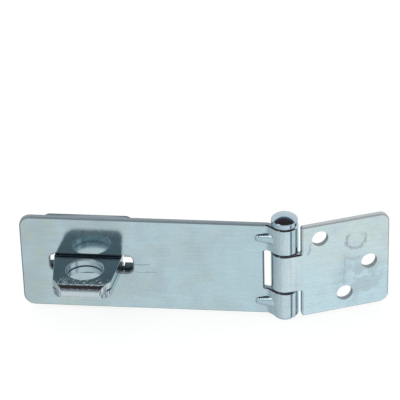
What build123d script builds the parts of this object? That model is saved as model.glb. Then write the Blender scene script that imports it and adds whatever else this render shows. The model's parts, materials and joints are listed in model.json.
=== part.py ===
from build123d import *
import os
from math import cos, radians, sin, sqrt

# A pressed-steel padlock hasp: a slotted strap and a screw-down leaf on one riveted hinge pin,
# and a folded staple that stands in the strap's slot with its two flanges behind the strap.
# Frame, in millimetres: the origin is the middle of the staple's shackle hole, +X runs along the
# strap to the hinge, +Z runs up along the shackle hole and the hinge pin, -Y faces the user.

# Sheet of the strap and the leaf, with the edge that tumbling breaks on its front
sheet = 1.5
broken_edge = 0.35

# Strap
strap_length = 75.0
strap_width = 28.0
strap_corner_radius = 3.0
strap_set_forward = 1.1
neck_angle = 40.0
neck_bend_radius = 1.5
strap_curl_angle = 292.0
window_gap = 1.75
window_corner_radius = 0.5

# Stiffening darts pressed across the two necks
dart_nose_radius = 1.3
dart_foot_radius = 2.3
dart_height = 0.7
dart_reach = 4.4
dart_foot_angle = 44.0
dart_punch_share = 0.6

# Hinge pin
pin_diameter = 4.4
pin_clearance = 0.05
head_diameter = 7.2
head_side_height = 1.6
head_dome_height = 1.6
head_edge_radius = 0.5
head_seat_chamfer = 0.3
peen_diameter = 6.4
peen_height = 1.0
peen_chamfer = 0.6

# Leaf
leaf_reach = 28.3
leaf_corner_radius = 2.6
leaf_notch_radius = 0.5
leaf_tongue_width = 11.5
leaf_curl_angle = 295.0
leaf_rest_angle = 22.4
knuckle_gap = 0.2
swing_gap = 0.54
leaf_hole_near = 8.7
leaf_hole_middle = 15.7
leaf_hole_far = 22.6
leaf_hole_rise = 9.8
leaf_hole_drop = 8.8

# Screw holes of the leaf and the staple
screw_hole_diameter = 4.5

# Staple, folded double from one strip
staple_sheet = 2.0
staple_seam = 0.2
staple_bend_radius = 0.6
staple_broken_edge = 0.25
staple_reach = 16.7
staple_height = 26.6
tab_root_width = 18.3
tab_shoulder_width = 15.6
tab_tip_width = 10.2
tab_corner_length = 3.4
flange_width = 24.4
flange_corner_radius = 2.0
flange_gap = 3.0
ear_slit = 0.4
flange_hole_spacing = 13.0
flange_hole_height = 8.9
shackle_hole_diameter = 9.8
shackle_to_strap = 6.2
shackle_to_hinge = 53.0

# Slot in the strap round the staple
slot_side_clearance = 0.65
slot_left_gap = 1.3
slot_right_gap = 3.0
slot_corner_radius = 1.8

# Places worked out from the sizes above
pin_radius = pin_diameter / 2
bore_radius = pin_radius + pin_clearance
barrel_radius = bore_radius + sheet
curl_radius = bore_radius + sheet / 2
strap_front = shackle_to_strap
strap_back = strap_front + sheet
free_end = shackle_to_hinge + barrel_radius - strap_length
leaf_width = strap_width
window_height = leaf_tongue_width + 2 * knuckle_gap
leaf_edge = sqrt((barrel_radius + swing_gap) ** 2 - bore_radius**2)
hinge_place = Location((shackle_to_hinge, strap_front + strap_set_forward, 0))
leaf_place = hinge_place * Location((0, 0, 0), (0, 0, leaf_rest_angle))


def bent_sheet(line, thickness, width):
    """Sheet of one thickness that follows a line in plan, upright and centred on Z = 0."""
    return extrude(trace(line, thickness), amount=width / 2, both=True)


def plate(outline, front, thickness):
    """Flat plate that faces the user, with its front at one depth."""
    return Pos(0, front + thickness, 0) * extrude(Plane.XZ * outline, amount=thickness)


def punch(radius, x, z, depth, length):
    """Round punch along Y, centred on one depth."""
    return Pos(x, depth, z) * Cylinder(radius, length, rotation=(90, 0, 0))


def break_edges(body, bend_side):
    """Break the front outline of a sheet, all but the line where the sheet starts to bend."""
    rim = body.faces().filter_by(Axis.Y).sort_by(Axis.Y)[0].edges()
    bend_line = rim.filter_by(Axis.Z).group_by(Axis.X)[bend_side]
    return chamfer(rim - bend_line, broken_edge)


def neck_points():
    """Start of the neck's bend, the bend's centre and the point where the neck meets the curl."""
    turn = radians(neck_angle)
    bend = neck_bend_radius + sheet / 2
    middle = sheet / 2 - strap_set_forward
    meet = (-curl_radius * sin(turn), -curl_radius * cos(turn))
    drop = middle - bend * (1 - cos(turn)) - meet[1]
    bend_x = meet[0] - drop * cos(turn) / sin(turn) - bend * sin(turn)
    return (bend_x, middle), (bend_x, middle - bend), meet


def strap_line():
    """Middle of the strap's sheet in plan, about the hinge axis: flat, neck and curl."""
    start, centre, meet = neck_points()
    flat = Line((free_end - shackle_to_hinge, start[1]), start)
    joggle = CenterArc(centre, neck_bend_radius + sheet / 2, 90, -neck_angle)
    neck = Line(joggle @ 1, meet)
    curl = CenterArc((0, 0), curl_radius, 270 - neck_angle, strap_curl_angle)
    return [flat, joggle, neck, curl]


def leaf_line():
    """Middle of the leaf's sheet in plan, about the hinge axis: flat and curl."""
    flat = Line((leaf_reach, -curl_radius), (0, -curl_radius))
    curl = CenterArc((0, 0), curl_radius, 270, -leaf_curl_angle)
    return [flat, curl]


def slot_punch():
    """Punch for the strap's slot: the staple's root with its clearances, in the part's frame."""
    left = -tab_root_width / 2 - slot_left_gap
    right = tab_root_width / 2 + slot_right_gap
    height = 2 * staple_sheet + staple_seam + 2 * slot_side_clearance
    outline = RectangleRounded(right - left, height, slot_corner_radius)
    return Pos((left + right) / 2, 0, 0) * plate(outline, strap_front - sheet, 3 * sheet)


def finger(tail, head, tail_radius, head_radius):
    """Tapered bar between two points, round at its tail."""
    run = head - tail
    from_tail = (Align.CENTER, Align.CENTER, Align.MIN)
    bar = Plane(origin=tail, z_dir=run) * Cone(tail_radius, head_radius, run.length, align=from_tail)
    return bar + Pos(tail) * Sphere(tail_radius)


def dart(z):
    """Tapered rib that a punch raises across a neck's bend, and the dent that it leaves behind."""
    start, _, meet = neck_points()
    foot = radians(dart_foot_angle)
    nose = sqrt(dart_nose_radius**2 - (dart_nose_radius - dart_height) ** 2)
    tail = Vector(nose - barrel_radius - dart_reach, -strap_set_forward - dart_height)
    head = Vector(-barrel_radius * sin(foot), -barrel_radius * cos(foot))
    inward = Vector(tail.Y - head.Y, head.X - tail.X).normalized()
    rib = finger(
        tail + inward * dart_nose_radius,
        head + inward * dart_foot_radius,
        dart_nose_radius,
        dart_foot_radius,
    )
    in_front = Polyline((2 * tail.X, start[1]), start, meet, head, (2 * tail.X, 2 * head.Y), close=True)
    rib &= extrude(make_face(in_front), amount=2 * dart_foot_radius, both=True)
    punch_nose = dart_nose_radius * dart_punch_share
    punch_foot = dart_foot_radius * dart_punch_share
    dent = finger(
        tail + inward * (sheet + punch_nose),
        head + inward * (sheet + punch_foot),
        punch_nose,
        punch_foot,
    )
    dent -= Cylinder(barrel_radius, 4 * dart_foot_radius)
    return Pos(0, 0, z) * rib, Pos(0, 0, z) * dent


def make_strap():
    """Slotted strap with two knuckles, a window for the leaf and a dart on each neck."""
    body = bent_sheet(strap_line(), sheet, strap_width)
    body = fillet(body.edges().filter_by(Axis.Y).group_by(Axis.X)[0], strap_corner_radius)
    from_left = (Align.MIN, Align.CENTER, Align.CENTER)
    window = Box(4 * barrel_radius, 4 * barrel_radius, window_height, align=from_left)
    window = fillet(window.edges().filter_by(Axis.Y).group_by(Axis.X)[0], window_corner_radius)
    body -= Pos(-barrel_radius - window_gap, 0, 0) * window
    body -= hinge_place.inverse() * slot_punch()
    body = break_edges(body, -1)
    knuckle_middle = (strap_width + window_height) / 4
    for z in (knuckle_middle, -knuckle_middle):
        rib, dent = dart(z)
        body = body + rib - dent
    return hinge_place * body


def make_leaf():
    """Leaf with one knuckle, its screwed face level with the front of the barrel."""
    body = bent_sheet(leaf_line(), sheet, leaf_tongue_width)
    flat = Line((leaf_edge, -curl_radius), (leaf_reach, -curl_radius))
    body += bent_sheet(flat, sheet, leaf_width)
    body = fillet(body.edges().filter_by(Axis.Y).group_by(Axis.X)[-1], leaf_corner_radius)
    body = fillet(body.edges().filter_by(Axis.Y).group_by(Axis.X)[0], leaf_notch_radius)
    body = break_edges(body, 0)
    places = [
        (leaf_hole_near, leaf_hole_rise),
        (leaf_hole_far, 0),
        (leaf_hole_middle, -leaf_hole_drop),
    ]
    for x, z in places:
        body -= punch(screw_hole_diameter / 2, x, z, -curl_radius, 2 * sheet)
    return leaf_place * body


def make_pin():
    """Hinge pin with a domed head on top and its lower end peened over."""
    end = strap_width / 2
    head_radius = head_diameter / 2
    peen_radius = peen_diameter / 2
    shoulder = end + head_side_height
    crown = shoulder + head_dome_height
    dome_radius = (head_radius**2 + head_dome_height**2) / (2 * head_dome_height)
    outline = Polyline(
        (0, crown),
        (0, -end - peen_height),
        (peen_radius, -end - peen_height),
        (peen_radius, -end),
        (pin_radius, -end),
        (pin_radius, end),
        (head_radius, end),
        (head_radius, shoulder),
    )
    dome = RadiusArc((head_radius, shoulder), (0, crown), -dome_radius)
    profile = make_face([outline, dome])
    top_corner = profile.vertices().group_by(Axis.X)[-1].sort_by(Axis.Y)[-1]
    profile = fillet(top_corner, head_edge_radius)
    seat_corner = profile.vertices().group_by(Axis.X)[-1].sort_by(Axis.Y)[0]
    profile = chamfer(seat_corner, head_seat_chamfer)
    peen_corner = profile.vertices().group_by(Axis.Y)[0].sort_by(Axis.X)[-1]
    profile = chamfer(peen_corner, peen_chamfer)
    return hinge_place * revolve(Plane.XZ * profile, Axis.Z)


def make_staple():
    """Staple folded double at its tip, with a shackle hole and two screw flanges."""
    leg = (staple_seam + staple_sheet) / 2
    bend = staple_bend_radius + staple_sheet / 2
    middle = strap_back + staple_sheet / 2
    tip = strap_back - staple_reach
    fold = tip + staple_seam / 2 + staple_sheet
    top = staple_height / 2
    line = [
        Line((middle, top), (middle, leg + bend)),
        CenterArc((middle - bend, leg + bend), bend, 0, -90),
        Line((middle - bend, leg), (fold, leg)),
        CenterArc((fold, 0), leg, 90, 180),
        Line((fold, -leg), (middle - bend, -leg)),
        CenterArc((middle - bend, -leg - bend), bend, 90, -90),
        Line((middle, -leg - bend), (middle, -top)),
    ]
    strip = extrude(Plane.YZ * trace(line, staple_sheet), amount=tab_root_width / 2, both=True)
    right_side = [
        (tab_root_width / 2, strap_back + staple_sheet),
        (tab_root_width / 2, strap_front),
        (tab_shoulder_width / 2, tip + tab_corner_length),
        (tab_tip_width / 2, tip),
    ]
    left_side = [(-x, y) for x, y in reversed(right_side)]
    strip &= extrude(make_face(Polyline(*right_side, *left_side, close=True)), amount=top, both=True)
    outline = RectangleRounded(flange_width, staple_height, flange_corner_radius)
    outline -= Rectangle(flange_width, flange_gap)
    outline -= Rectangle(tab_root_width + 2 * ear_slit, 2 * (leg + bend))
    body = strip + plate(outline, strap_back, staple_sheet)
    places = [
        (-flange_hole_spacing / 2, flange_hole_height),
        (flange_hole_spacing / 2, flange_hole_height),
        (0, -flange_hole_height),
    ]
    for x, z in places:
        body -= punch(screw_hole_diameter / 2, x, z, middle, 2 * staple_sheet)
    body -= Cylinder(shackle_hole_diameter / 2, 4 * staple_sheet)
    circles = body.edges().filter_by(GeomType.CIRCLE)
    rims = circles.filter_by(lambda edge: edge.radius > screw_hole_diameter).sort_by(Axis.Z)
    return chamfer([rims[0], rims[-1]], staple_broken_edge)


parts = {
    "strap": make_strap(),
    "leaf": make_leaf(),
    "hinge_pin": make_pin(),
    "staple": make_staple(),
}

os.makedirs("parts", exist_ok=True)
for name, solid in parts.items():
    export_step(solid, f"parts/{name}.step")
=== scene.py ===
import json
from functools import partial
from math import atan2, cos, pi, radians, sin

import bpy
from mathutils import Matrix, Vector


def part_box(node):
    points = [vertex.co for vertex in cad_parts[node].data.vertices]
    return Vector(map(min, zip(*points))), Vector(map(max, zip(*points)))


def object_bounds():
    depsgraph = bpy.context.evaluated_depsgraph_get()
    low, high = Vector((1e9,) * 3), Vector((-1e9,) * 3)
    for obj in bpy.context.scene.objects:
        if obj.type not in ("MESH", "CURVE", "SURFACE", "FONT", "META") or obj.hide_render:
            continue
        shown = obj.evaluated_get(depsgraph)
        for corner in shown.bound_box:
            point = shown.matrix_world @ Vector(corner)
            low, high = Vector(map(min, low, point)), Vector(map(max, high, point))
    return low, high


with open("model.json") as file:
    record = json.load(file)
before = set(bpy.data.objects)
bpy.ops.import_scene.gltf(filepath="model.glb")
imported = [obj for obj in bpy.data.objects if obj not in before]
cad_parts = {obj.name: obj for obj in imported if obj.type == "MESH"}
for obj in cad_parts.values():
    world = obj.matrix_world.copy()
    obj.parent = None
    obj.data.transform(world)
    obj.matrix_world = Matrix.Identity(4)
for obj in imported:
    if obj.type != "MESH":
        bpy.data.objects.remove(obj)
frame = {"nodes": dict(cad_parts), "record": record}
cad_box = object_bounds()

MM = 0.001

# Camera of the photograph, in metres, degrees, pixels and millimetres of sensor
CAMERA_PLACE = Vector((0.09512, -0.52938, 0.35176))
CAMERA_DROP = 31.5
CAMERA_YAW = 6.845
CAMERA_ROLL = 1.705
CAMERA_CLIP = (0.01, 20.0)
CAMERA_FOCAL_PIXELS = 2400.0
IMAGE_PIXELS = 400.0
SENSOR_MM = 36.0

# Floor, lamp and room, in metres and watts, with glow and room light as shares of full white
FLOOR_HALF_SIZE = 3.0
PAPER_COLOUR = "#A8A8A8"
PAPER_GLOW = 0.8
SOFTBOX_PLACE = Vector((-0.47, -0.50, 0.44))
SOFTBOX_SIZE = 0.36
SOFTBOX_POWER = 0.85
ROOM_LIGHT = 0.55

# Light tent that the metal sees over it: degrees from the back wall, up and over to the front
TENT_ARCH = [
    (0, "#F9F9F9"), (58, "#F3F6F7"), (67, "#596F7C"), (83, "#443838"), (119, "#382E2E"),
    (137, "#6C6C71"), (148, "#909397"), (162, "#ADAFB3"), (175, "#E0E0E0"), (180, "#F6F6F6"),
]

# The same tent round it, below the horizon: degrees from the front, the right side positive
TENT_RING = [
    (-180, "#E8E8E8"), (-110, "#C4C8CA"), (-79, "#C9CDCF"), (-49, "#D9DCDE"), (-22, "#EAEBEC"),
    (-7, "#F3F3F3"), (10, "#F8F8F8"), (38, "#FDFDFD"), (95, "#F4F6F7"), (180, "#E8E8E8"),
]

# Two dark gaps between its panels on the right: degrees round it, and the lowest and highest rise
TENT_GAPS = [(48, 55, 64, 72), (95, 108, 122, 138)]
GAP_COLOUR = "#7D8A94"
GAP_RISE = (-0.66, -0.60, -0.46, -0.40)

# Its end walls, by how far sideways a direction points, and the soft line of its horizon, by its rise
END_WALLS = (0.88, 0.97)
END_WALL_COLOUR = "#F9F9F9"
HORIZON = (-0.06, 0.06)

# The hinge axis, and each sheet's own facing and turn about it
HINGE_PLACE = Vector(frame["record"]["behaviour"]["joints"][0]["pos_m"])
MOUNTS = {mount["name"]: mount for mount in frame["record"]["mounts"]}
STRAP_FACING = Vector((0.0, -1.0, 0.0))
LEAF_FACING = Vector(MOUNTS["leaf_face"]["axis"])
LEAF_TURN = atan2(LEAF_FACING.x, -LEAF_FACING.y)

# From here on, sizes and places are in millimetres, from the hinge unless a heading says otherwise

# Clouds and blooms of the sheets' passivation; levels are where a mask starts and is whole, then its shares
CLOUD_SIZE = 9.0
CLOUD_LEVELS = (0.235, 0.775)
DRIFT_SHARE = 0.25
BLOOM_SIZE = 5.0
YELLOW_LEVELS = (0.46, 0.66, 0.0, 0.4)
VIOLET_LEVELS = (0.46, 0.28, 0.0, 0.25)

# Specks and scuffs of the sheets' plating, with the scuffs' share on the curl and on the flat
SPECK_SIZE = 0.5
SPECK_DEPTH = 0.003
SPOT_LEVELS = (0.55, 0.35, 0.0, 0.16)
SCUFF_LEVELS = (0.40, 0.60)
SCUFF_SHARES = (0.45, 0.0)

# Rolling lines are some 0.03 mm wide, too fine to show, so they are drawn this coarse
ROLLED_SIZE = 0.16
ROLLED_STRETCH = (60.0, 60.0, 1.0)

# Die lines on the curl, and the share of both kinds of line on the curl and on the flat
DIE_LINE_SIZE = 0.7
DIE_LINE_STRETCH = (1.0, 1.0, 20.0)
LINE_LEVELS = (0.7, 0.3)
LINE_SHARES = (0.28, 0.16)
LINE_DEPTH = 0.001

# Waves in the sheets, the streaks of their torn edges, and the share of the colour painted on the walls of
# their holes: painted light on the strap's slot, painted shade in the leaf's screw holes
WAVE_SIZE = 6.0
WAVE_DEPTH = 0.02
TORN_SIZE = 0.25
TORN_STRETCH = (1.0, 12.0, 1.0)
WALL_SHARE = 0.6

# Cosines of a face's lean on a sheet: off its face, on its level edges, on a broken arris, and in front
LEAN_OFF_FACE = (0.95, 0.85)
LEAN_ON_EDGE = (0.75, 0.9)
LEAN_ON_ARRIS = (0.3, 0.5)
LEAN_TO_FRONT = (0.3, 0.6, 0.0, 0.6)

# Patterns of the staple's plating, of its torn sides and of its flanges' rims
STRIP_CLOUD_SIZE = 3.0
STRIP_CLOUD_DEPTH = 0.01
STRIP_SPECK_SIZE = 0.6
STRIP_TORN_SIZE = 0.3
STRIP_TORN_STRETCH = (1.0, 1.0, 8.0)
FLANGE_STREAK_SIZE = 0.5
FLANGE_STREAK_STRETCH = (30.0, 1.0, 1.0)
STREAK_LEVELS = (0.35, 0.65)

# Patterns of the rivet's plating
RIVET_CLOUD_SIZE = 2.0
PEEL_SIZE = 0.4
PEEL_DEPTH = 0.004

# Radius of each worn arris, its share of colour, and the cosine of the turn where wear shows
SHEET_ARRIS = 0.12
SHEET_ARRIS_SHARE = 0.35
STRIP_ARRIS = 0.3
STRIP_ARRIS_LEVELS = (0.42, 0.54, 0.3, 1.0)
RIVET_ARRIS = 0.2
RIVET_ARRIS_SHARE = 0.5
ARRIS_TURN = (0.995, 0.85)

# Shade in the sheets' crevices: its reach, the open sky where it starts and is whole, and its share
CREVICE_REACH = 2.0
CREVICE_SKY = (0.45, 0.1)
CREVICE_SHARE = 0.7

# Roughness of each clean plating
SHEET_POLISH = 0.07
STRIP_POLISH = 0.03
RIVET_POLISH = 0.05

# Bends of a scratch, and how far they throw it aside
BEND_SIZE = 2.0
BEND_REACH = (1.8, 1.8, 1.8)

# Rubbed ring on the leaf: how its line fades, wanders and breaks, and where it stops below its top
RING_CENTRE = (18.8, 0.0, 7.5)
RING_RADIUS = 2.7
RING_LINE = (0.8, 0.05)
RING_WANDER = 1.1
RING_WANDER_SIZE = 0.8
RING_BREAK_SIZE = 0.7
RING_BREAK_LEVELS = (0.40, 0.56, 0.1, 1.0)
RING_TOP = (RING_CENTRE[2] + 2.4, RING_CENTRE[2] + 1.2)

# Cloudy stain on the leaf, and the part of it that is whole
STAIN_CENTRE = (20.0, 0.0, -5.0)
STAIN_RADIUS = 10.0
STAIN_CORE = 4.0
STAIN_PATCH_SIZE = 3.0
STAIN_LEVELS = (0.40, 0.56, 0.0, 0.45)

# Scratches on the leaf, with a smear round all but the first
LEAF_SCRATCHES = [
    ((6.0, 0.0, 8.7), (5.4, 0.0, 5.3)),
    ((15.7, 0.0, 2.9), (15.3, 0.0, -5.7)),
    ((15.7, 0.0, 2.3), (20.0, 0.0, 1.5)),
]
LEAF_SCRATCH_WIDTH = 0.5
LEAF_SCRATCH_SHARE = 0.7
SMEAR_WIDTH = 2.6
SMEAR_SHARE = 0.28

# Walls of the leaf's screw holes, outside their radius, where painted shade goes
SCREW_WALL = (0.2, 0.05)

# Scratches on the strap beside its slot
STRAP_SCRATCHES = [
    ((-40.4, 0.0, 0.0), (-36.2, 0.0, 0.1)),
    ((-40.4, 0.0, -2.3), (-34.4, 0.0, -2.0)),
]
STRAP_SCRATCH_WIDTH = 0.25

# The strap's slot: its middle, half its size, and its walls outside that, where painted light goes
SLOT_CENTRE = (-52.15, 0.0, 0.0)
SLOT_HALF = (11.3, 0.0, 2.75)
SLOT_WALL = (0.6, 0.4)

# Middle of each pressed dart on the strap, its reach, and the part of it that is whole
DART_CENTRES = [(-5.4, 0.0, 10.0), (-5.4, 0.0, -10.0)]
DART_REACH = 3.2
DART_CORE = 0.9 * DART_REACH

# The staple's shackle hole, with the edge of its wall and the painted highlight on its rim outside its
# radius
SHACKLE_CENTRE = (Vector(MOUNTS["shackle_hole"]["pos_m"]) - HINGE_PLACE) / MM
SHACKLE_RADIUS = MOUNTS["shackle_hole"]["dims"]["r_mm"]
SHACKLE_WALL = (0.1, 0.25)
SHACKLE_RIM_HIGHLIGHT = (0.02, 0.08, 0.24, 0.32)

# The staple's fold: its tip, and where its round begins
FOLD_TIP = (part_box("staple")[0][1] - HINGE_PLACE.y) / MM
FOLD_START = FOLD_TIP + MOUNTS["shackle_hole"]["dims"]["length_mm"] / 2

# Bands near the fold, behind the start of its round: sheen, ripples, nicks, pits, corners and seam
FOLD_SHEEN = (0.4, -0.1, 0.0, 0.7)
RIPPLE_DEPTH = 0.06
FOLD_RIPPLE = (0.4, -0.4, 0.0, RIPPLE_DEPTH)
NICK_BAND = (-0.1, 0.3, 1.6, 3.2)
PIT_BAND = (-1.1, -0.7, 0.0, 0.3)
TORN_CORNERS = (1.7, 1.2)
SEAM_BAND = (-0.4, 0.4)

# Nicks and pits near the fold: a nick's width, length to width, slant and depth
NICK_SIZE = 0.4
NICK_STRETCH = (1.0, 4.0, 1.0)
NICK_TURN = radians(-28.0)
NICK_DEPTH = 0.015
NICK_LEVELS = (0.51, 0.68, 0.0, 0.8)
PIT_LEVELS = (0.54, 0.44, 0.0, 0.8)

# Heights up and down from the staple's middle: the seam between its layers, and its flanges' dark rims
SEAM_HALF = (0.40, 0.15, 0.0, 0.85)
FLANGE_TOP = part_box("staple")[1][2] / MM
FLANGE_RIMS = (FLANGE_TOP - 0.9, FLANGE_TOP - 0.3)

# Shade on the tab in the slot: where it enters, how high the shade comes, and clear of the flanges
SLOT_MOUTH = (-1.2, -0.6, 0.0, 0.92)
SLOT_SHADE_TOP = (1.4, 0.6)
SLOT_SHADE_HALF = (4.5, 3.5)
SLOT_REACH = 4.0
SLOT_SKY = (1.0, 0.8)

# Cosines of a face's lean on the staple: on its sheared sides, and off them at the tab's corners
LEAN_ON_SIDE = (0.3, 0.5)
LEAN_AT_CORNER = (0.95, 0.85)

# Settings of two nodes that are used often: a smooth step, and a mix of colours
STEP = {"interpolation_type": "SMOOTHSTEP"}
COLOUR = {"data_type": "RGBA"}


def srgb(code):
    """Linear colour of an sRGB hex value."""
    parts = [int(code[i : i + 2], 16) / 255 for i in (1, 3, 5)]
    linear = [p / 12.92 if p <= 0.04045 else ((p + 0.055) / 1.055) ** 2.4 for p in parts]
    return (*linear, 1.0)


def add(tree, kind, inputs=(), output=None, **settings):
    """New node with its settings, and its inputs set to values or linked to sockets, by order or by
    name. Gives the named output, or else the first in use."""
    node = tree.nodes.new("ShaderNode" + kind)
    for name, value in settings.items():
        setattr(node, name, value)
    pairs = inputs.items() if isinstance(inputs, dict) else enumerate(inputs)
    for key, value in pairs:
        if isinstance(value, bpy.types.NodeSocket):
            tree.links.new(value, node.inputs[key])
        else:
            node.inputs[key].default_value = value
    if output:
        return node.outputs[output]
    return next((socket for socket in node.outputs if socket.enabled), None)


def new_material(name):
    """Empty node material and its tree."""
    material = bpy.data.materials.new(name)
    material.use_nodes = True
    material.node_tree.nodes.clear()
    return material, material.node_tree


def in_sheet(point, turn):
    """A point of the frame in a sheet's own millimetres: along from the hinge, and up."""
    local = Matrix.Rotation(-turn, 3, "Z") @ (Vector(point) - HINGE_PLACE) / MM
    return (local.x, 0.0, local.z)


def sheet_place(tree, turn):
    """Object coordinates in millimetres from the hinge axis, turned with the piece's own sheet."""
    place = add(tree, "TexCoord", output="Object")
    about_hinge = {"Location": HINGE_PLACE, "Rotation": (0, 0, turn), "Scale": (MM, MM, MM)}
    return add(tree, "Mapping", {"Vector": place, **about_hinge}, vector_type="TEXTURE")


def off_centre(tree, place, centre, plane=(1.0, 0.0, 1.0)):
    """Distance from a centre in a plane, by default the sheet's own."""
    flat = add(tree, "VectorMath", (place, plane), operation="MULTIPLY")
    return add(tree, "VectorMath", (flat, centre), operation="DISTANCE")


def nearest(tree, place, centres):
    """Distance from the nearest of some centres in the plane of the sheet."""
    closest = off_centre(tree, place, centres[0])
    for centre in centres[1:]:
        closest = add(tree, "Math", (closest, off_centre(tree, place, centre)), operation="MINIMUM")
    return closest


def between(tree, value, first, whole_from, whole_to, last):
    """1 in the middle of a band, with soft edges that reach 0 at its first and last values."""
    opens = add(tree, "MapRange", (value, first, whole_from), **STEP)
    closes = add(tree, "MapRange", (value, last, whole_to), **STEP)
    return add(tree, "Math", (opens, closes), operation="MULTIPLY")


def share_along(tree, place, start, end):
    """0 at the start of a straight run, 1 at its end and in between along it."""
    run = Vector(end) - Vector(start)
    away = add(tree, "VectorMath", (place, start), operation="SUBTRACT")
    share = add(tree, "VectorMath", (away, run / run.length_squared), operation="DOT_PRODUCT")
    return add(tree, "Math", (share, 0.0), operation="ADD", use_clamp=True)


def streaks(tree, place, size, stretch, detail=4.0):
    """Noise of a size, drawn out along each axis by its stretch."""
    squeezed = add(tree, "VectorMath", (place, stretch), operation="DIVIDE")
    return add(tree, "TexNoise", {"Vector": squeezed, "Scale": 1 / size, "Detail": detail})


def scratched(tree, place, scratches, width):
    """1 on the middle of some slightly bent scratches, and 0 from one width away."""
    node = partial(add, tree)
    bend = node("TexNoise", {"Vector": place, "Scale": 1 / BEND_SIZE, "Detail": 3.0}, "Color")
    bend = node("VectorMath", (bend, (0.5, 0.5, 0.5)), operation="SUBTRACT")
    place = node("VectorMath", (bend, BEND_REACH, place), operation="MULTIPLY_ADD")
    mask = 0.0
    for start, end in scratches:
        run = Vector(end) - Vector(start)
        share = share_along(tree, place, start, end)
        foot = node("VectorMath", (share, run, start), operation="MULTIPLY_ADD")
        scratch = node("MapRange", (off_centre(tree, place, foot), width, 0.0), **STEP)
        mask = node("Math", (mask, scratch), operation="MAXIMUM")
    return mask


def worn_arris(tree, radius):
    """1 on a worn arris, where a rounded normal leaves the true one, and the rounded normal."""
    rounded = add(tree, "Bevel", {"Radius": radius * MM}, samples=8)
    true = add(tree, "NewGeometry", output="True Normal")
    same = add(tree, "VectorMath", (rounded, true), operation="DOT_PRODUCT")
    return add(tree, "MapRange", (same, *ARRIS_TURN), **STEP), rounded


def in_shade(tree, reach, open_sky):
    """1 deep in a crevice and 0 in the open, between two shares of open sky."""
    sky = add(tree, "AmbientOcclusion", {"Distance": reach * MM}, "AO", samples=8)
    return add(tree, "MapRange", (sky, *open_sky), **STEP)


def cut_faces(tree, facing, along, plain):
    """Where the press cut a sheet: 1 on its sheared edges, and 1 on the arris broken round its face,
    on the plain part that starts at one distance from the hinge and is whole at another."""
    node = partial(add, tree)
    normal = node("TexCoord", output="Normal")
    upright = node("Math", (node("SeparateXYZ", (normal,), "Z"),), operation="ABSOLUTE")
    level = node("VectorMath", (normal, facing), operation="DOT_PRODUCT")
    level = node("Math", (level,), operation="ABSOLUTE")
    on_plain = node("MapRange", (along, *plain), **STEP)
    turned = node("MapRange", (level, *LEAN_OFF_FACE), **STEP)
    turned = node("Math", (turned, on_plain), operation="MULTIPLY")
    sheared = node("MapRange", (upright, *LEAN_ON_EDGE), **STEP)
    sheared = node("Math", (sheared, turned), operation="MAXIMUM")
    broken = node("MapRange", (level, *LEAN_ON_ARRIS), **STEP)
    broken = node("Math", (turned, broken), operation="MULTIPLY")
    return sheared, broken


def rubbed_ring(tree, place):
    """A ring rubbed into the leaf, wandering, broken and open at its top."""
    node = partial(add, tree)
    wander = {"Vector": place, "Scale": 1 / RING_WANDER_SIZE, "Detail": 4.0, "Roughness": 0.7}
    wander = node("TexNoise", wander)
    wander = node("Math", (wander, 2 * RING_WANDER, -RING_WANDER), operation="MULTIPLY_ADD")
    gap = node("Math", (off_centre(tree, place, RING_CENTRE), RING_RADIUS), operation="SUBTRACT")
    gap = node("Math", (gap, wander), operation="ADD")
    gap = node("Math", (gap,), operation="ABSOLUTE")
    ring = node("MapRange", (gap, *RING_LINE), **STEP)
    height = node("SeparateXYZ", (place,), "Z")
    below_top = node("MapRange", (height, *RING_TOP), **STEP)
    breaks = node("TexNoise", {"Vector": place, "Scale": 1 / RING_BREAK_SIZE, "Detail": 3.0})
    breaks = node("MapRange", (breaks, *RING_BREAK_LEVELS), **STEP)
    for mask in (below_top, breaks):
        ring = node("Math", (ring, mask), operation="MULTIPLY")
    return ring


def leaf_marks(tree, place):
    """Grey rub marks on the leaf: a ring, a cloudy stain, and fine scratches with a smear round some.
    Then its darts, of which it has none, and the walls of its screw holes."""
    node = partial(add, tree)
    stain = off_centre(tree, place, STAIN_CENTRE)
    stain = node("MapRange", (stain, STAIN_RADIUS, STAIN_CORE), **STEP)
    patches = node("TexNoise", {"Vector": place, "Scale": 1 / STAIN_PATCH_SIZE, "Detail": 5.0})
    patches = node("MapRange", (patches, *STAIN_LEVELS), **STEP)
    stain = node("Math", (stain, patches), operation="MULTIPLY")
    scratches = scratched(tree, place, LEAF_SCRATCHES, LEAF_SCRATCH_WIDTH)
    scratches = node("Math", (scratches, LEAF_SCRATCH_SHARE), operation="MULTIPLY")
    smear = scratched(tree, place, LEAF_SCRATCHES[1:], SMEAR_WIDTH)
    smear = node("Math", (smear, SMEAR_SHARE), operation="MULTIPLY")
    marks = rubbed_ring(tree, place)
    for mark in (stain, scratches, smear):
        marks = node("Math", (marks, mark), operation="MAXIMUM")
    no_darts = 0.0
    screws = [mount for name, mount in MOUNTS.items() if name.startswith("leaf_screw")]
    walls = nearest(tree, place, [in_sheet(mount["pos_m"], LEAF_TURN) for mount in screws])
    walls = node("Math", (walls, screws[0]["dims"]["r_mm"]), operation="SUBTRACT")
    walls = node("MapRange", (walls, *SCREW_WALL), **STEP)
    return marks, no_darts, walls


def strap_marks(tree, place):
    """Fine scratches beside the strap's slot; its two darts, which the punch has dulled; and the
    slot's walls."""
    node = partial(add, tree)
    marks = scratched(tree, place, STRAP_SCRATCHES, STRAP_SCRATCH_WIDTH)
    darts = nearest(tree, place, DART_CENTRES)
    darts = node("MapRange", (darts, DART_REACH, DART_CORE), **STEP)
    away = node("VectorMath", (place, SLOT_CENTRE), operation="SUBTRACT")
    away = node("VectorMath", (away,), operation="ABSOLUTE")
    away = node("VectorMath", (away, SLOT_HALF), operation="SUBTRACT")
    beside, above = (node("SeparateXYZ", (away,), axis) for axis in "XZ")
    walls = node("Math", (beside, above), operation="MAXIMUM")
    walls = node("MapRange", (walls, *SLOT_WALL), **STEP)
    return marks, darts, walls


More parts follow.
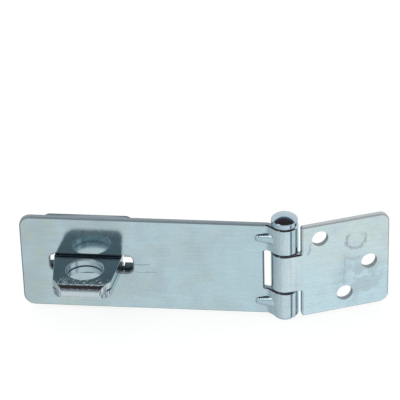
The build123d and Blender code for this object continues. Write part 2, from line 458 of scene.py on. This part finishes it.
def finish(tree, tint, rounded, polish, coats, dulled, bared, relief):
    """Metal shader and the material's output. Coats are shares with their colours, the last on top.
    The other lists hold masks: with what each adds to the roughness, what it takes from the metal
    where the plating is torn or nicked or a highlight is painted, and what it adds to the height."""
    node = partial(add, tree)
    for share, colour in coats:
        tint = node("Mix", {"Factor": share, "A": tint, "B": colour}, **COLOUR)
    roughness = polish
    for mask, gain in dulled:
        roughness = node("Math", (mask, gain, roughness), operation="MULTIPLY_ADD")
    metallic = 1.0
    for mask, loss in bared:
        metallic = node("Math", (mask, -loss, metallic), operation="MULTIPLY_ADD", use_clamp=True)
    height = 0.0
    for pattern, depth in relief:
        height = node("Math", (pattern, depth, height), operation="MULTIPLY_ADD")
    bump = node("Bump", {"Height": height, "Distance": MM, "Normal": rounded})
    metal = {"Base Color": tint, "Metallic": metallic, "Roughness": roughness, "Normal": bump}
    node("OutputMaterial", {"Surface": node("BsdfPrincipled", metal)})


def passivated(tree, place, cool, warm, drift):
    """Colour of passivated zinc: cool, clouding to warm along the drift, with faint yellow blooms
    along it and faint violet ones all over."""
    node = partial(add, tree)
    drifted = share_along(tree, place, *drift)
    cloud = {"Vector": place, "Scale": 1 / CLOUD_SIZE, "Detail": 5.0, "Roughness": 0.65}
    cloud = node("TexNoise", cloud)
    cloud = node("Mix", {"Factor": DRIFT_SHARE, "A": cloud, "B": drifted})
    cloud = node("MapRange", (cloud, *CLOUD_LEVELS), **STEP)
    tint = node("Mix", {"Factor": cloud, "A": srgb(cool), "B": srgb(warm)}, **COLOUR)
    bloom = node("TexNoise", {"Vector": place, "Scale": 1 / BLOOM_SIZE, "Detail": 3.0})
    yellow = node("MapRange", (bloom, *YELLOW_LEVELS), **STEP)
    yellow = node("Math", (yellow, drifted), operation="MULTIPLY")
    tint = node("Mix", {"Factor": yellow, "A": tint, "B": srgb("#C6CDBB")}, **COLOUR)
    violet = node("MapRange", (bloom, *VIOLET_LEVELS), **STEP)
    return node("Mix", {"Factor": violet, "A": tint, "B": srgb("#B9C2D4")}, **COLOUR)


def zinc_sheet(name, cool, warm, drift, cut, wall_painted_light_and_shade, facing, turn, flat, plain, marks):
    """Rolled steel sheet, bright zinc plated and passivated: a pale blue mirror, cloudy with faint
    yellow and violet tints, with rolling lines along the flat, and die lines and pale scuffs on the
    curl. Its sheared edges are dull and torn, with the given colours of their dark and bright streaks
    and their broken arris. The walls of its holes are painted with a given colour: painted light on
    the strap's slot, painted shade in the leaf's screw holes. The flat and the plain part start at one
    distance from the hinge and are whole at another."""
    material, tree = new_material(name)
    node = partial(add, tree)
    place = sheet_place(tree, turn)
    along = node("SeparateXYZ", (place,), "X")
    on_flat = node("MapRange", (along, *flat), **STEP)
    marked, darts, walls = marks(tree, place)
    off_darts = node("MapRange", (darts, 0.0, 1.0, 1.0, 0.0))
    sheared, broken = cut_faces(tree, facing, along, plain)
    sheared = node("Math", (sheared, off_darts), operation="MULTIPLY")
    broken = node("Math", (broken, off_darts), operation="MULTIPLY")
    worn, rounded = worn_arris(tree, SHEET_ARRIS)

    # Lines, specks, scuffs and rub marks on the plating
    rolled = streaks(tree, place, ROLLED_SIZE, ROLLED_STRETCH, detail=2.0)
    drawn = streaks(tree, place, DIE_LINE_SIZE, DIE_LINE_STRETCH)
    line = node("Mix", {"Factor": on_flat, "A": drawn, "B": rolled})
    line_share = node("MapRange", (on_flat, 0.0, 1.0, *LINE_SHARES))
    lines = node("MapRange", (line, *LINE_LEVELS), **STEP)
    lines = node("Math", (line_share, lines), operation="MULTIPLY")
    speck = {"Vector": place, "Scale": 1 / SPECK_SIZE, "Detail": 4.0, "Roughness": 0.7}
    speck = node("TexNoise", speck)
    spots = node("MapRange", (speck, *SPOT_LEVELS), **STEP)
    scuff_share = node("MapRange", (on_flat, 0.0, 1.0, *SCUFF_SHARES))
    scuffs = node("MapRange", (speck, *SCUFF_LEVELS), **STEP)
    scuffs = node("Math", (scuff_share, scuffs), operation="MULTIPLY")
    front = node("VectorMath", (node("TexCoord", output="Normal"), facing), operation="DOT_PRODUCT")
    front = node("MapRange", (front, *LEAN_TO_FRONT))
    rubbed = node("Math", (marked, front), operation="MULTIPLY")

    # Torn edges, worn arrises, painted light and painted shade on the walls of holes, and shade in the
    # crevices
    dark_streak, bright_streak, broken_arris = (srgb(code) for code in cut)
    torn = streaks(tree, place, TORN_SIZE, TORN_STRETCH)
    edge = node("Mix", {"Factor": torn, "A": dark_streak, "B": bright_streak}, **COLOUR)
    edge = node("Mix", {"Factor": broken, "A": edge, "B": broken_arris}, **COLOUR)
    arris = node("Math", (worn, SHEET_ARRIS_SHARE), operation="MULTIPLY")
    walls = node("Math", (walls, sheared), operation="MULTIPLY")
    walls = node("Math", (walls, WALL_SHARE), operation="MULTIPLY")
    shade = in_shade(tree, CREVICE_REACH, CREVICE_SKY)
    shade = node("Math", (shade, CREVICE_SHARE), operation="MULTIPLY")

    wave = node("TexNoise", {"Vector": place, "Scale": 1 / WAVE_SIZE})
    finish(
        tree,
        passivated(tree, place, cool, warm, drift),
        rounded,
        SHEET_POLISH,
        coats=[
            (lines, srgb("#7F959E")),
            (spots, srgb("#8FA0A6")),
            (scuffs, srgb("#D9DDDF")),
            (rubbed, srgb("#83848A")),
            (sheared, edge),
            (arris, srgb("#46535B")),
            # walls of holes: painted light on the strap, painted shade on the leaf
            (walls, srgb(wall_painted_light_and_shade)),
            (shade, srgb("#2C3B44")),
        ],
        dulled=[(speck, 0.10), (sheared, 0.25), (broken, 0.2), (darts, 0.12), (worn, 0.3)],
        bared=[(sheared, 0.3), (broken, 0.4)],
        relief=[(wave, WAVE_DEPTH), (line, LINE_DEPTH), (speck, SPECK_DEPTH)],
    )
    return material


def fold_wear(tree, from_fold, speck):
    """Wear near the staple's fold: slanted nicks behind it, and pits along the start of its round."""
    node = partial(add, tree)
    slanted = sheet_place(tree, NICK_TURN)
    nicks = streaks(tree, slanted, NICK_SIZE, NICK_STRETCH, detail=3.0)
    nicks = node("MapRange", (nicks, *NICK_LEVELS), **STEP)
    nicks = node("Math", (nicks, between(tree, from_fold, *NICK_BAND)), operation="MULTIPLY")
    pits = node("MapRange", (speck, *PIT_LEVELS), **STEP)
    pits = node("Math", (pits, between(tree, from_fold, *PIT_BAND)), operation="MULTIPLY")
    return nicks, pits


def torn_side(tree, place, across, from_fold):
    """Colour of the staple's sheared sides: pale streaks, on a dark ground at the tab's corners."""
    node = partial(add, tree)
    corners = node("MapRange", (across, *LEAN_AT_CORNER), **STEP)
    at_tip = node("MapRange", (from_fold, *TORN_CORNERS), **STEP)
    corners = node("Math", (corners, at_tip), operation="MULTIPLY")
    ground = node("Mix", {"Factor": corners, "A": srgb("#BCD0DA"), "B": srgb("#5F727D")}, **COLOUR)
    torn = streaks(tree, place, STRIP_TORN_SIZE, STRIP_TORN_STRETCH)
    torn = node("MapRange", (torn, *STREAK_LEVELS), **STEP)
    return node("Mix", {"Factor": torn, "A": ground, "B": srgb("#DCE8ED")}, **COLOUR)


def streaked_rim(tree, place):
    """Colour of the rims of the staple's flanges: dark, with lighter streaks along them."""
    node = partial(add, tree)
    streaked = streaks(tree, place, FLANGE_STREAK_SIZE, FLANGE_STREAK_STRETCH)
    streaked = node("MapRange", (streaked, *STREAK_LEVELS), **STEP)
    return node("Mix", {"Factor": streaked, "A": srgb("#4E5A61"), "B": srgb("#9AA8AF")}, **COLOUR)


def staple_shade(tree, back, height, off_seam, from_fold):
    """Shade in the seam between the staple's layers, and on its tab inside the slot."""
    node = partial(add, tree)
    seam = node("MapRange", (off_seam, *SEAM_HALF), **STEP)
    behind_fold = node("MapRange", (from_fold, *SEAM_BAND), **STEP)
    seam = node("Math", (seam, behind_fold), operation="MULTIPLY")
    in_slot = node("MapRange", (back, *SLOT_MOUTH), **STEP)
    low = node("MapRange", (height, *SLOT_SHADE_TOP), **STEP)
    on_tab = node("MapRange", (off_seam, *SLOT_SHADE_HALF), **STEP)
    for mask in (low, on_tab, in_shade(tree, SLOT_REACH, SLOT_SKY)):
        in_slot = node("Math", (in_slot, mask), operation="MULTIPLY")
    return node("Math", (seam, in_slot), operation="MAXIMUM")


def zinc_strip(name):
    """Steel strip folded double, bright zinc plated: a smooth blue mirror with slanted nicks behind
    its fold, pits along the start of the fold's round, pale torn sides and a painted highlight round
    the rim of its hole. The rims of its flanges are dark and streaked, and there is shade in the seam
    between its layers and inside the slot."""
    material, tree = new_material(name)
    node = partial(add, tree)
    place = sheet_place(tree, 0.0)
    back, height = (node("SeparateXYZ", (place,), axis) for axis in "YZ")
    from_fold = node("Math", (back, FOLD_START), operation="SUBTRACT")
    off_seam = node("Math", (height,), operation="ABSOLUTE")
    across = node("SeparateXYZ", (node("TexCoord", output="Normal"),), "X")
    across = node("Math", (across,), operation="ABSOLUTE")
    off_hole = off_centre(tree, place, SHACKLE_CENTRE, plane=(1.0, 1.0, 0.0))
    off_hole = node("Math", (off_hole, SHACKLE_RADIUS), operation="SUBTRACT")
    outside = node("MapRange", (off_hole, *SHACKLE_WALL), **STEP)
    hole_wall = node("MapRange", (outside, 0.0, 1.0, 1.0, 0.0))
    # A pale ring on the chamfer round the hole, a painted highlight
    hole_rim_highlight = between(tree, off_hole, *SHACKLE_RIM_HIGHLIGHT)
    sides = node("MapRange", (across, *LEAN_ON_SIDE), **STEP)
    sides = node("Math", (sides, outside), operation="MULTIPLY")
    rims = node("MapRange", (off_seam, *FLANGE_RIMS), **STEP)

    cloud = node("TexNoise", {"Vector": place, "Scale": 1 / STRIP_CLOUD_SIZE, "Detail": 4.0})
    tint = node("Mix", {"Factor": cloud, "A": srgb("#9FB6C0"), "B": srgb("#BBCFD7")}, **COLOUR)
    speck = {"Vector": place, "Scale": 1 / STRIP_SPECK_SIZE, "Detail": 4.0, "Roughness": 0.7}
    speck = node("TexNoise", speck)
    sheen = node("MapRange", (from_fold, *FOLD_SHEEN), **STEP)
    ripple = node("MapRange", (from_fold, *FOLD_RIPPLE), **STEP)
    nicks, pits = fold_wear(tree, from_fold, speck)
    worn, rounded = worn_arris(tree, STRIP_ARRIS)
    patches = node("MapRange", (speck, *STRIP_ARRIS_LEVELS), **STEP)
    worn = node("Math", (worn, patches), operation="MULTIPLY")
    finish(
        tree,
        tint,
        rounded,
        STRIP_POLISH,
        coats=[
            (sheen, srgb("#D2DEE1")),
            (pits, srgb("#4F626C")),
            (nicks, srgb("#E8F0F3")),
            (sides, torn_side(tree, place, across, from_fold)),
            (rims, streaked_rim(tree, place)),
            (worn, srgb("#D8E4EA")),
            (hole_rim_highlight, srgb("#C6D6DC")),
            (staple_shade(tree, back, height, off_seam, from_fold), srgb("#1E2C36")),
        ],
        dulled=[(speck, 0.10), (sides, 0.1), (nicks, 0.3), (hole_wall, 0.18), (worn, 0.25)],
        bared=[(nicks, 0.7), (hole_rim_highlight, 0.6)],
        relief=[(cloud, STRIP_CLOUD_DEPTH), (nicks, -NICK_DEPTH), (speck, ripple)],
    )
    return material


def zinc_rivet(name):
    """Headed steel rivet, bright zinc plated: a clear mirror with a faint orange peel and darker
    worn arrises."""
    material, tree = new_material(name)
    node = partial(add, tree)
    place = sheet_place(tree, 0.0)
    worn, rounded = worn_arris(tree, RIVET_ARRIS)
    arris = node("Math", (worn, RIVET_ARRIS_SHARE), operation="MULTIPLY")
    cloud = node("TexNoise", {"Vector": place, "Scale": 1 / RIVET_CLOUD_SIZE, "Detail": 4.0})
    tint = node("Mix", {"Factor": cloud, "A": srgb("#A8BECB"), "B": srgb("#C4D3DE")}, **COLOUR)
    peel = node("TexNoise", {"Vector": place, "Scale": 1 / PEEL_SIZE, "Detail": 3.0})
    finish(
        tree,
        tint,
        rounded,
        RIVET_POLISH,
        coats=[(arris, srgb("#6A7880"))],
        dulled=[(peel, 0.10)],
        bared=[],
        relief=[(peel, PEEL_DEPTH)],
    )
    return material


def dress():
    """A finish for every node."""
    strap = zinc_sheet(
        "zinc_plated_rolled_sheet_strap",
        cool="#C1DDE6",
        warm="#B3C6C9",
        drift=((-8.0, 0.0, 0.0), (-70.0, 0.0, 0.0)),
        cut=("#66767F", "#B2BFC6", "#9AA9B2"),
        # the slot's walls are painted light
        wall_painted_light_and_shade="#E4EBEE",
        facing=STRAP_FACING,
        turn=0.0,
        flat=(-2.5, -5.0),
        plain=(-4.6, -5.4),
        marks=strap_marks,
    )
    leaf = zinc_sheet(
        "zinc_plated_rolled_sheet_leaf",
        cool="#C6E2EC",
        warm="#D2E1DF",
        drift=((14.0, 0.0, 0.0), (16.0, 0.0, 10.0)),
        cut=("#B4BEC3", "#E4E9EB", "#D9E2E6"),
        # the screw holes' walls are painted shade
        wall_painted_light_and_shade="#50646E",
        facing=LEAF_FACING,
        turn=LEAF_TURN,
        flat=(2.0, 4.0),
        plain=(3.8, 4.3),
        marks=leaf_marks,
    )
    finishes = {
        "strap": strap,
        "leaf": leaf,
        "hinge_pin": zinc_rivet("zinc_plated_headed_rivet"),
        "staple": zinc_strip("zinc_plated_folded_strip"),
    }
    for name, node in frame["nodes"].items():
        node.data.materials.clear()
        node.data.materials.append(finishes[name])


def white_paper():
    """Matt white paper: white to the camera, and a little darker in the shadow."""
    material, tree = new_material("white_paper")
    seen = add(tree, "LightPath", output="Is Camera Ray")
    seen_through = add(tree, "LightPath", output="Is Transmission Ray")
    seen = add(tree, "Math", (seen, seen_through), operation="MAXIMUM")
    strength = add(tree, "Math", (seen, PAPER_GLOW), operation="MULTIPLY")
    glow = add(tree, "Emission", {"Strength": strength})
    paper = add(tree, "BsdfDiffuse", {"Color": srgb(PAPER_COLOUR)})
    add(tree, "OutputMaterial", {"Surface": add(tree, "AddShader", (paper, glow))})
    return material


def floor():
    """Flat square below the hasp. The metal sees the white tent in its place."""
    low = cad_box[0][2]
    half = FLOOR_HALF_SIZE
    corners = [(-half, -half, low), (half, -half, low), (half, half, low), (-half, half, low)]
    mesh = bpy.data.meshes.new("floor")
    mesh.from_pydata(corners, [], [(0, 1, 2, 3)])
    mesh.materials.append(white_paper())
    piece = bpy.data.objects.new("floor", mesh)
    piece.visible_glossy = False
    bpy.context.scene.collection.objects.link(piece)


def light_tent(tree):
    """Colour of the light tent by direction: an arch overhead with white end walls, and below the
    horizon a ring with two dark gaps."""
    node = partial(add, tree)
    direction = node("TexCoord", output="Generated")
    x, y, z = (node("SeparateXYZ", (direction,), axis) for axis in "XYZ")
    over = node("Math", (node("Math", (z, y), operation="ARCTAN2"), pi), operation="DIVIDE")
    ahead = node("Math", (y, -1.0), operation="MULTIPLY")
    round_about = node("Math", (x, ahead), operation="ARCTAN2")
    round_about = node("Math", (round_about, 0.5 / pi, 0.5), operation="MULTIPLY_ADD")
    colours = []
    for share, stops in ((over, TENT_ARCH), (round_about, TENT_RING)):
        colour = node("ValToRGB", (share,))
        elements = colour.node.color_ramp.elements
        elements.remove(elements[1])
        start, end = stops[0][0], stops[-1][0]
        elements[0].color = srgb(stops[0][1])
        for degrees, code in stops[1:]:
            elements.new((degrees - start) / (end - start)).color = srgb(code)
        colours.append(colour)
    arch, ring = colours
    gaps = 0.0
    for edges in TENT_GAPS:
        gap = between(tree, round_about, *(0.5 + degrees / 360 for degrees in edges))
        gaps = node("Math", (gaps, gap), operation="MAXIMUM")
    gaps = node("Math", (gaps, between(tree, z, *GAP_RISE)), operation="MULTIPLY")
    ring = node("Mix", {"Factor": gaps, "A": ring, "B": srgb(GAP_COLOUR)}, **COLOUR)
    sideways = node("Math", (x,), operation="ABSOLUTE")
    end_walls = node("MapRange", (sideways, *END_WALLS), **STEP)
    arch = node("Mix", {"Factor": end_walls, "A": arch, "B": srgb(END_WALL_COLOUR)}, **COLOUR)
    above = node("MapRange", (z, *HORIZON), **STEP)
    return node("Mix", {"Factor": above, "A": ring, "B": arch}, **COLOUR)


def studio():
    """White to the camera, plain light on the floor, and a light tent in the metal."""
    world = bpy.data.worlds.new("studio")
    bpy.context.scene.world = world
    world.use_nodes = True
    tree = world.node_tree
    tree.nodes.clear()
    node = partial(add, tree)
    tent = node("Background", {"Color": light_tent(tree)})
    plain = node("Background", {"Color": srgb("#FFFFFF"), "Strength": ROOM_LIGHT})
    white = node("Background", {"Color": srgb("#FFFFFF")})
    lit = node("MixShader", (node("LightPath", output="Is Glossy Ray"), plain, tent))
    seen = node("MixShader", (node("LightPath", output="Is Camera Ray"), lit, white))
    node("OutputWorld", {"Surface": seen})


def softbox():
    """One soft lamp, above and to the left, for the shadow and the glints."""
    data = bpy.data.lights.new("softbox", "AREA")
    data.size = SOFTBOX_SIZE
    data.energy = SOFTBOX_POWER
    lamp = bpy.data.objects.new("softbox", data)
    aim = SOFTBOX_PLACE.to_track_quat("Z", "Y")
    lamp.matrix_world = Matrix.Translation(SOFTBOX_PLACE) @ aim.to_matrix().to_4x4()
    bpy.context.scene.collection.objects.link(lamp)


def camera():
    """Camera at the photograph's place, looking down at the hasp with a slight roll."""
    drop, yaw, roll = radians(CAMERA_DROP), radians(CAMERA_YAW), radians(CAMERA_ROLL)
    ahead = Vector((-sin(yaw) * cos(drop), cos(yaw) * cos(drop), -sin(drop)))
    level = Vector((cos(yaw), sin(yaw), 0))
    upright = Vector((-sin(yaw) * sin(drop), cos(yaw) * sin(drop), cos(drop)))
    right = level * cos(roll) - upright * sin(roll)
    up = level * sin(roll) + upright * cos(roll)
    data = bpy.data.cameras.new("camera")
    data.sensor_fit = "HORIZONTAL"
    data.sensor_width = SENSOR_MM
    data.lens = CAMERA_FOCAL_PIXELS / IMAGE_PIXELS * SENSOR_MM
    data.clip_start, data.clip_end = CAMERA_CLIP
    view = bpy.data.objects.new("camera", data)
    turn = Matrix((right, up, -ahead)).transposed()
    view.matrix_world = Matrix.Translation(CAMERA_PLACE) @ turn.to_4x4()
    bpy.context.scene.collection.objects.link(view)
    bpy.context.scene.camera = view


dress()
floor()
studio()
softbox()
camera()
bpy.context.scene.view_settings.view_transform = "Standard"
